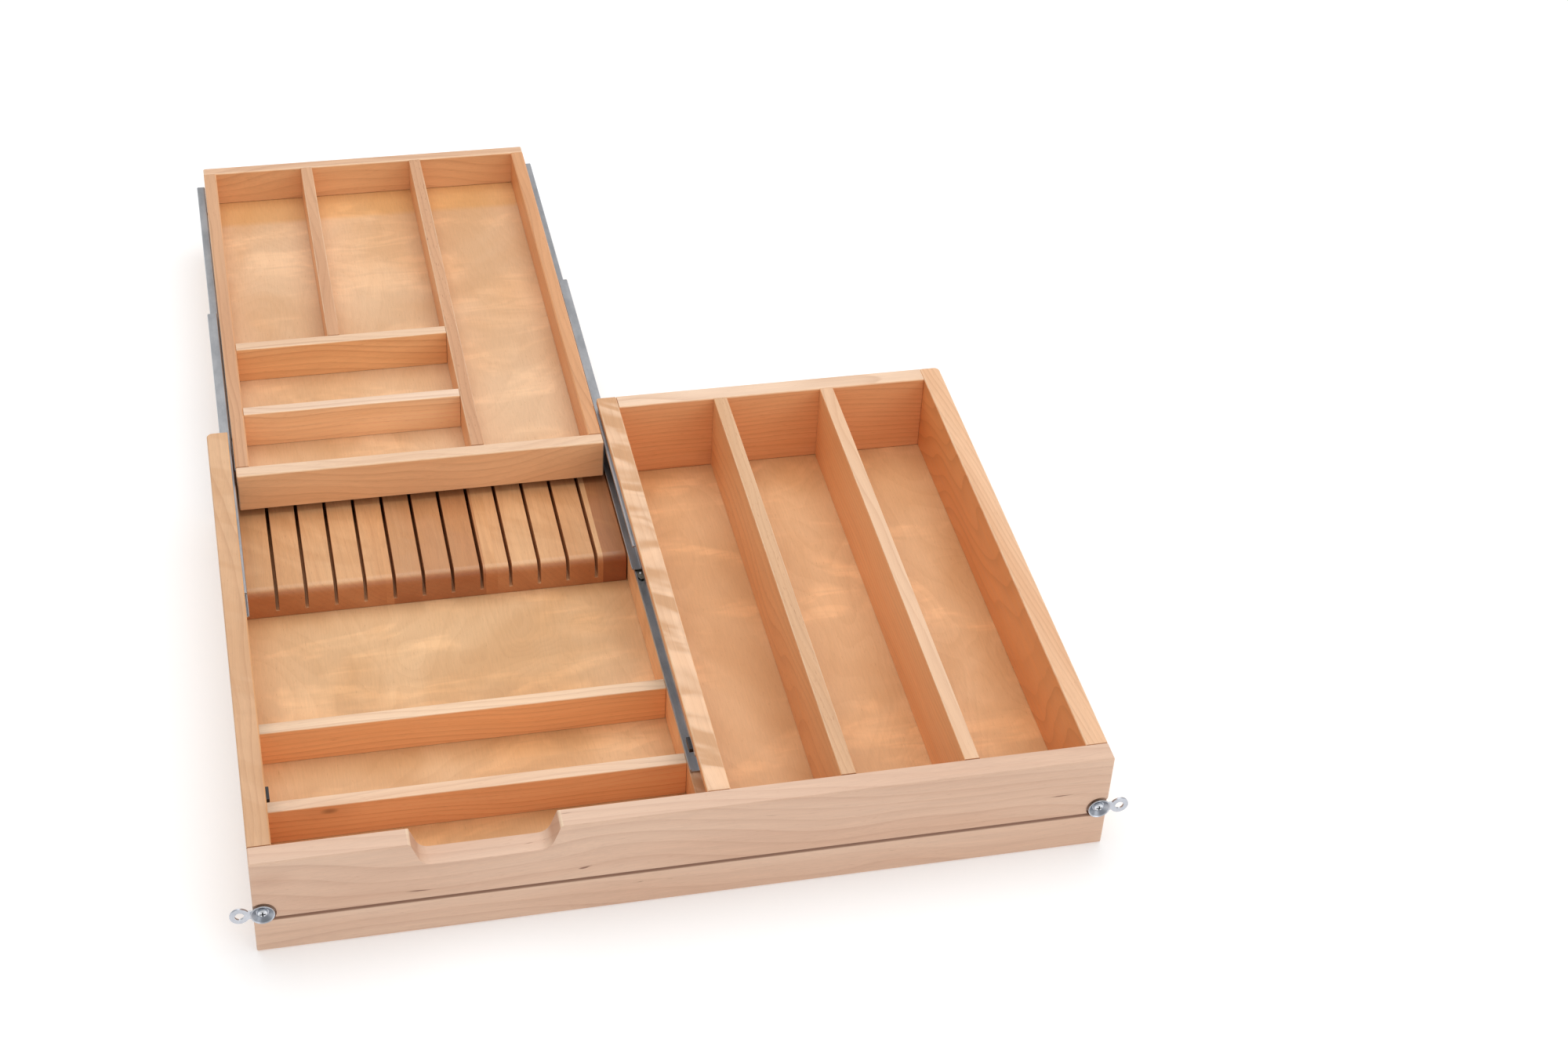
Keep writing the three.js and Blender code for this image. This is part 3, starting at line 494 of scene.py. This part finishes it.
def prism(outline_points, axis, start, end, segments=1):
    """A closed outline in the two other axes, run along an axis. Points are (b, z) pairs, anticlockwise."""
    bm = bmesh.new()
    rows = []
    for i in range(segments + 1):
        at = start + (end - start) * i / segments
        rows.append([bm.verts.new((at, p, q) if axis == 0 else (p, at, q)) for p, q in outline_points])
    count = len(outline_points)
    for lower, upper in zip(rows, rows[1:]):
        for i in range(count):
            j = (i + 1) % count
            bm.faces.new((lower[i], lower[j], upper[j], upper[i]))
    bm.faces.new(rows[0])
    bm.faces.new(list(reversed(rows[-1])))
    bmesh.ops.recalc_face_normals(bm, faces=bm.faces[:])
    return bm


def rounded_top(b0, b1, z0, z1, radius):
    """Section of a board that stands square on the floor and has its two top arrises rounded."""
    steps = 4
    points = [(b0, z0), (b1, z0)]
    for centre, first in ((b1 - radius, 0.0), (b0 + radius, 90.0)):
        for i in range(steps + 1):
            turn = math.radians(first + 90.0 * i / steps)
            points.append((centre + radius * math.cos(turn), z1 - radius + radius * math.sin(turn)))
    return points


def divider(node, grain, material):
    """A divider board, butted at both ends."""
    low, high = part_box(node)
    axis = 0 if grain == "x" else 1
    other = 1 - axis
    section = rounded_top(low[other], high[other], low.z, high.z, DIVIDER_ROUND * MM)
    bm = prism(section, axis, low[axis], high[axis], 8)
    mark_edges(bm)
    to_object(node + "_finished", bm, BODY_OF[node], material, replaced=(node,))


# ---------------------------------------------------------------- camera
# Solved from the photograph: lens in millimetres on a full-frame sensor, place in metres, turn in degrees.
CAMERA_SENSOR = 36.0
CAMERA_LENS = 61.74
CAMERA_PLACE = (-0.32723, -1.42960, 1.56043)
CAMERA_TURN = (50.9485, -2.9287, -12.6704)
camera_data = bpy.data.cameras.new("Camera")
camera_data.sensor_width = CAMERA_SENSOR
camera_data.lens = CAMERA_LENS
camera_data.clip_start = 0.05
camera_data.clip_end = 50.0
camera = bpy.data.objects.new("Camera", camera_data)
bpy.context.scene.collection.objects.link(camera)
camera.location = CAMERA_PLACE
camera.rotation_euler = [math.radians(v) for v in CAMERA_TURN]
bpy.context.scene.camera = camera

# ---------------------------------------------------------------- floor and light
FLOOR_REACH = 6.0
# The floor lies a little below the feet, so that the two do not share a plane.
FLOOR_PLACE = (0.0, 0.3, -0.6 * MM)
FLOOR_TONE = (0.80, 0.80, 0.80, 1.0)
FLOOR_GLOW = 0.30
WHITE = (1.0, 1.0, 1.0, 1.0)
WORLD_STRENGTH = 0.58
OVERHEAD_POWER = 38.5
FRONT_POWER = 14.0

bm = bmesh.new()
bmesh.ops.create_grid(bm, x_segments=1, y_segments=1, size=FLOOR_REACH)
floor_mesh = bpy.data.meshes.new("studio_floor")
bm.to_mesh(floor_mesh)
bm.free()
floor = bpy.data.objects.new("studio_floor", floor_mesh)
floor.location = FLOOR_PLACE
bpy.context.scene.collection.objects.link(floor)
paper = Tree("studio_floor")
paper.shader.inputs["Base Color"].default_value = FLOOR_TONE
paper.shader.inputs["Roughness"].default_value = 0.9
paper.shader.inputs["Emission Color"].default_value = WHITE
paper.shader.inputs["Emission Strength"].default_value = FLOOR_GLOW
floor_mesh.materials.append(paper.material)

world = bpy.data.worlds.new("World")
world.use_nodes = True
background = world.node_tree.nodes.get("Background") or world.node_tree.nodes.new("ShaderNodeBackground")
background.inputs[0].default_value = WHITE
background.inputs[1].default_value = WORLD_STRENGTH
out = world.node_tree.nodes.get("World Output") or world.node_tree.nodes.new("ShaderNodeOutputWorld")
world.node_tree.links.new(background.outputs[0], out.inputs[0])
bpy.context.scene.world = world


def softbox(name, at, toward, size, power):
    """A white rectangular light at one place, facing another."""
    data = bpy.data.lights.new(name, "AREA")
    data.shape = "RECTANGLE"
    data.size, data.size_y = size
    data.energy = power
    ob = bpy.data.objects.new(name, data)
    ob.location = at
    ob.rotation_euler = (Vector(toward) - Vector(at)).to_track_quat("-Z", "Y").to_euler()
    bpy.context.scene.collection.objects.link(ob)


softbox("overhead", (0.1, 0.9, 2.5), (0.0, 0.35, 0.0), (2.4, 2.4), OVERHEAD_POWER)
softbox("front_fill", (1.9, -2.0, 1.4), (0.2, 0.2, 0.0), (2.0, 1.4), FRONT_POWER)
bpy.context.scene.view_settings.view_transform = "Standard"

# ---------------------------------------------------------------- wooden parts
# Directions in X and Y.
LEFT, RIGHT, FRONT, BACK = (-1, 0), (1, 0), (0, -1), (0, 1)
BOTH_X = (LEFT, RIGHT)
BOTH_Y = (FRONT, BACK)
# The butting ends of a board, as (axis, side).
FRONT_END = ((1, -1),)
BOTH_Y_ENDS = ((1, -1), (1, 1))
BOTH_X_ENDS = ((0, -1), (0, 1))
# Tones of the woods, 0-255. The tint given last in each is painted bounce light and shade, which the inner
# faces are multiplied by.
PALE = dict(light=(240, 202, 168), deep=(226, 180, 140), line=(178, 120, 78), painted_shade_tint=(0.98, 0.82, 0.60))
PINK = dict(light=(228, 194, 168), deep=(212, 170, 142), line=(166, 112, 84), painted_shade_tint=(0.90, 0.74, 0.55))
WARM = dict(light=(224, 182, 142), deep=(208, 158, 114), line=(156, 98, 58), painted_shade_tint=(1.06, 0.98, 0.82))
TAN = dict(light=(218, 170, 130), deep=(202, 148, 108), line=(146, 92, 58), painted_shade_tint=(1.1, 1.08, 0.95))

# The dark line between the front panel and its rail, widened by painted shade: height and half width in
# metres, then its strength.
JOINT = (0.034, 2.4 * MM, 0.75)
board("front_panel", wood("maple_front", "x", **PINK, seed=1.3, pith=(0.16, 0.02), tilt=(0.03, 0.05),
      rings=120, ring_amount=0.34, knots=0.8, streaks=0.8, painted_shade_facings=(BACK,), joint_shade=JOINT))
board("front_rail", wood("maple_front_rail", "x", **PINK, seed=7.9, pith=(0.10, 0.05), rings=140,
      ring_amount=0.26, streaks=0.9, painted_shade_facings=(BACK,), joint_shade=JOINT))
board("left_side", wood("maple_left_side", "y", **WARM, seed=3.1, pith=(0.36, 0.09), rings=260, curl=0.06,
      ring_amount=0.34, painted_shade_facings=(RIGHT,)), squares=FRONT_END)
board("right_side", wood("maple_right_side", "y", light=(240, 194, 154), deep=(226, 172, 128),
      line=(150, 92, 50), painted_shade_tint=(0.86, 0.66, 0.42), seed=5.7, pith=(-0.27, -0.05), tilt=(0.10, 0.02),
      rings=230, ring_amount=0.38, knots=0.3, painted_shade_facings=(LEFT,)), squares=FRONT_END)
board("middle_divider", wood("maple_middle", "y", **PALE, seed=9.2, pith=(0.05, 0.02), rings=200, curl=0.26,
      ring_amount=0.3, knots=0.9, painted_shade_facings=BOTH_X), squares=FRONT_END)
board("back_panel", wood("maple_back", "x", light=(244, 214, 188), deep=(232, 192, 156),
      line=(168, 110, 70), painted_shade_tint=(0.90, 0.66, 0.44), seed=2.4, pith=(-0.60, 0.03), rings=210,
      ring_amount=0.42, knots=0.7, painted_shade_facings=(FRONT,)), squares=BOTH_X_ENDS)
board("back_rail", wood("maple_back_rail", "x", **WARM, seed=4.8, pith=(-0.61, 0.02), rings=220,
      ring_amount=0.35, painted_shade_facings=(FRONT,)), squares=BOTH_X_ENDS)
divider("long_divider_1", "y", wood("maple_long_1", "y", **WARM, seed=6.6, pith=(-0.04, -0.1), rings=250,
      ring_amount=0.42, flecks=0.8, painted_shade_facings=BOTH_X))
divider("long_divider_2", "y", wood("maple_long_2", "y", **PALE, seed=8.3, pith=(-0.3, 0.02), rings=240,
      ring_amount=0.42, painted_shade_facings=BOTH_X))
divider("low_divider_front", "x", wood("maple_low_front", "x", light=(246, 214, 184), deep=(236, 194, 158),
      line=(172, 112, 70), painted_shade_tint=(1.0, 0.78, 0.56), seed=0.6, pith=(-0.15, 0.03), rings=230,
      ring_amount=0.45, knots=0.5, painted_shade_facings=BOTH_Y))
divider("low_divider_rear", "x", wood("maple_low_rear", "x", light=(246, 212, 178), deep=(234, 190, 150),
      line=(172, 112, 70), painted_shade_tint=(0.94, 0.72, 0.50), seed=11.1, pith=(-0.25, 0.01), rings=240,
      ring_amount=0.45, knots=0.3, painted_shade_facings=BOTH_Y))
board("tray_front", wood("maple_tray_front", "x", light=(240, 208, 178), deep=(226, 184, 148),
      line=(160, 102, 66), painted_shade_tint=(1.02, 0.88, 0.70), seed=12.2, pith=(-0.50, 0.0), rings=150,
      ring_amount=0.26, warp=0.022, streaks=0.5, painted_shade_facings=BOTH_Y))
board("tray_back", wood("maple_tray_back", "x", light=(232, 194, 162), deep=(218, 172, 136),
      line=(150, 94, 60), painted_shade_tint=(1.0, 0.90, 0.70), seed=13.4, pith=(-0.9, -0.03), rings=160,
      ring_amount=0.32, warp=0.018, painted_shade_facings=(FRONT,)))
board("tray_side_left", wood("maple_tray_left", "y", **TAN, seed=14.5, pith=(0.37, 0.03), rings=230,
      ring_amount=0.40, painted_shade_facings=BOTH_X), squares=BOTH_Y_ENDS)
board("tray_side_right", wood("maple_tray_right", "y", light=(224, 166, 118), deep=(206, 146, 98),
      line=(150, 90, 50), painted_shade_tint=(1.0, 0.95, 0.85), seed=15.6, pith=(0.06, 0.02), rings=230, ring_amount=0.40,
      painted_shade_facings=BOTH_X), squares=BOTH_Y_ENDS)
divider("tray_divider_long", "y", wood("maple_tray_long", "y", **TAN, seed=16.7, pith=(0.15, 0.02),
      rings=230, ring_amount=0.40, flecks=0.9, knots=0.9, painted_shade_facings=BOTH_X))
divider("tray_divider_short", "y", wood("maple_tray_short", "y", **TAN, seed=17.8, pith=(0.27, 0.03),
      rings=230, ring_amount=0.35, painted_shade_facings=BOTH_X))
divider("tray_cross_front", "x", wood("maple_tray_cross_front", "x", light=(242, 212, 186),
      deep=(230, 192, 160), line=(166, 110, 76), painted_shade_tint=(1.02, 0.92, 0.72), seed=18.9, pith=(-0.60, 0.01),
      rings=230, ring_amount=0.40, painted_shade_facings=BOTH_Y))
divider("tray_cross_rear", "x", wood("maple_tray_cross_rear", "x", light=(238, 204, 172),
      deep=(224, 182, 146), line=(156, 98, 62), painted_shade_tint=(0.98, 0.80, 0.56), seed=20.1, pith=(-0.70, -0.02),
      rings=230, ring_amount=0.45, streaks=0.6, painted_shade_facings=BOTH_Y))
# The block's glued strips: where they start and end in X, then each strip's start share and tone.
BLOCK_STRIPS = (-0.3189, 0.0117, ((0.0, 0.22), (0.360, 0.02), (0.379, 0.55), (0.622, 0.04), (0.655, 0.20),
                                  (0.918, 0.02), (0.936, 0.85)))
# The block's front face is darkened by painted shade, through its facing tint.
board("knife_block", wood("cherry_block", "y", light=(228, 178, 128), deep=(210, 150, 98),
      line=(142, 74, 36), painted_shade_tint=(0.66, 0.49, 0.41), seed=21.3, pith=(0.1, 0.05), rings=240, ring_amount=0.16,
      fibre=0.14, curl=0.07, painted_shade_facings=(FRONT,), edge_wear_and_highlight=0.25, end_dark=0.0, edge_tone=(222, 160, 116),
      strips=BLOCK_STRIPS), radius=0.35)
board("floor_panel", plywood("ply_floor", light=(228, 184, 136), deep=(212, 162, 110), seed=1.1,
      glare=0.21), radius=0.3)
TRAY_SEED = 5.3
# The painted shade at the back of the tray floor lies behind this Y, in metres.
TRAY_SHADE_Y = 0.918
board("tray_floor", plywood("ply_tray", light=(228, 190, 150), deep=(214, 168, 122), seed=TRAY_SEED,
      figure=0.08, glare=0.18, band=(TRAY_SEED + TRAY_SHADE_Y, 6 * MM, 0.55)), radius=0.2)

# ---------------------------------------------------------------- metal and plastic
zinc = plated("zinc_slide", (206, 207, 210), (160, 163, 168), 0.24)
cage_zinc = plated("zinc_cage", (176, 172, 160), (140, 136, 126), 0.30)
ball_steel = plated("ball_steel", (232, 235, 240), (214, 218, 224), 0.10, TUMBLED)
# The screws that hold the clips: their X and Z in metres, the reach of the cross recess and the Y where its
# painted shade starts, then the radii of the ring of painted shade and reflection round the head.
CLIP_X, CLIP_Z = 0.3305, 0.041
RECESS_REACH, RECESS_Y = 2.6 * MM, -10.5 * MM
CUP_INNER, CUP_OUTER = 4.4 * MM, 8.4 * MM
screw_steel = plated("screw_steel", (232, 235, 240), (206, 210, 217), 0.20, TUMBLED,
                     shaded_hollows=[(x, CLIP_Z, RECESS_REACH, RECESS_Y) for x in (-CLIP_X, CLIP_X)])
clip_zinc = plated("zinc_clip", (214, 217, 224), (182, 187, 196), 0.26, TUMBLED,
                   shaded_cups=[(x, CLIP_Z, CUP_INNER, CUP_OUTER) for x in (-CLIP_X, CLIP_X)])
black = plastic("black_plastic", (26, 26, 28))
# Balls of the two cages of each slide, and their strips, in metres.
OUTER_BALL = 1.35 * MM
INNER_BALL = 1.30 * MM
BALL_PITCH = 12.5 * MM
CAGE_MARGIN = 10 * MM
STRIP_HALF = 0.3 * MM
WEB_THICK = 0.5 * MM
BALL_BITE = 0.2 * MM
WINDOW_SHARE = 0.92


def metal(node, material, radius, segments=3):
    """A metal or plastic part: the CAD shape with its folds and cut edges rounded."""
    bm = dressed(node, radius, segments=segments, angle=20.0)
    mark_edges(bm, 0.7)
    to_object(node + "_finished", bm, BODY_OF[node], material, smooth_angle=50.0, replaced=(node,))


def add_ball(bm, centre, radius):
    bmesh.ops.create_uvsphere(bm, u_segments=20, v_segments=12, radius=radius,
                              matrix=Matrix.Translation(centre))


def race_strip(bm, x0, x1, z0, z1, y0, y1, places, hole):
    """One thin wall of a cage, with a round window for each ball. The wall lies flat, from z0 to z1."""
    cuts = [y0] + [(p + q) / 2 for p, q in zip(places, places[1:])] + [y1]
    centre_x, half_x = (x0 + x1) / 2, (x1 - x0) / 2
    count = 16
    tiny = 1e-9
    for place, low, high in zip(places, cuts, cuts[1:]):
        rings = {}
        for level in (z0, z1):
            inner, outer = [], []
            for i in range(count):
                turn = 2 * math.pi * (i + 0.5) / count
                dx, dy = math.cos(turn), math.sin(turn)
                inner.append(bm.verts.new((centre_x + dx * hole, place + dy * hole, level)))
                half_y = high - place if dy > 0 else place - low
                reach = min(half_x / max(abs(dx), tiny), half_y / max(abs(dy), tiny))
                outer.append(bm.verts.new((centre_x + dx * reach, place + dy * reach, level)))
            rings[level] = (inner, outer)
        for i in range(count):
            j = (i + 1) % count
            (a0, b0), (a1, b1) = rings[z0], rings[z1]
            bm.faces.new((a0[i], b0[i], b0[j], a0[j]))
            bm.faces.new((a1[i], a1[j], b1[j], b1[i]))
            bm.faces.new((a0[i], a0[j], a1[j], a1[i]))
            bm.faces.new((b0[i], b1[i], b1[j], b0[j]))


def ball_cage(side, which, ball_radius):
    """A ball cage: two windowed strips joined by a thin web, with loose steel balls in the windows."""
    node = f"{which}_cage_{side}"
    low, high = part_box(node)
    inward = 1 if side == "left" else -1
    web = low.x if inward > 0 else high.x
    count = int((high.y - low.y - CAGE_MARGIN) / BALL_PITCH) + 1
    first = (low.y + high.y - (count - 1) * BALL_PITCH) / 2
    places = [first + i * BALL_PITCH for i in range(count)]
    middle_z = (low.z + high.z) / 2
    race = (high.z - low.z) / 2 - ball_radius + BALL_BITE
    levels = (middle_z - race, middle_z + race)
    bm = bmesh.new()
    for z in levels:
        race_strip(bm, low.x, high.x, z - STRIP_HALF, z + STRIP_HALF, low.y, high.y, places,
                   ball_radius * WINDOW_SHARE)
    inner = web + inward * WEB_THICK
    section = [(web, levels[0]), (inner, levels[0]), (inner, levels[1]), (web, levels[1])]
    plate = prism(section if inward > 0 else section[::-1], 1, low.y, high.y)
    joined = bpy.data.meshes.new(node + "_web")
    plate.to_mesh(joined)
    plate.free()
    bm.from_mesh(joined)
    bpy.data.meshes.remove(joined)
    bmesh.ops.recalc_face_normals(bm, faces=bm.faces[:])
    mark_edges(bm, 0.4)
    to_object(node + "_strip", bm, BODY_OF[node], cage_zinc, replaced=(node,))
    balls = bmesh.new()
    for z in levels:
        for y in places:
            add_ball(balls, ((low.x + high.x) / 2, y, z), ball_radius)
    to_object(node + "_balls", balls, BODY_OF[node], ball_steel)


for side in ("left", "right"):
    for member in ("fixed", "middle", "inner"):
        metal(f"slide_{member}_{side}", zinc, 0.30)
    metal(f"slide_bumper_{side}", black, 0.55)
    ball_cage(side, "outer", OUTER_BALL)
    ball_cage(side, "inner", INNER_BALL)
    metal(f"clip_{side}", clip_zinc, 0.22)
    metal(f"clip_screw_{side}", screw_steel, 0.14)
    for i in (1, 2):
        metal(f"fixed_screw_{side}_{i}", screw_steel, 0.12, 2)
        metal(f"tray_screw_{side}_{i}", screw_steel, 0.12, 2)
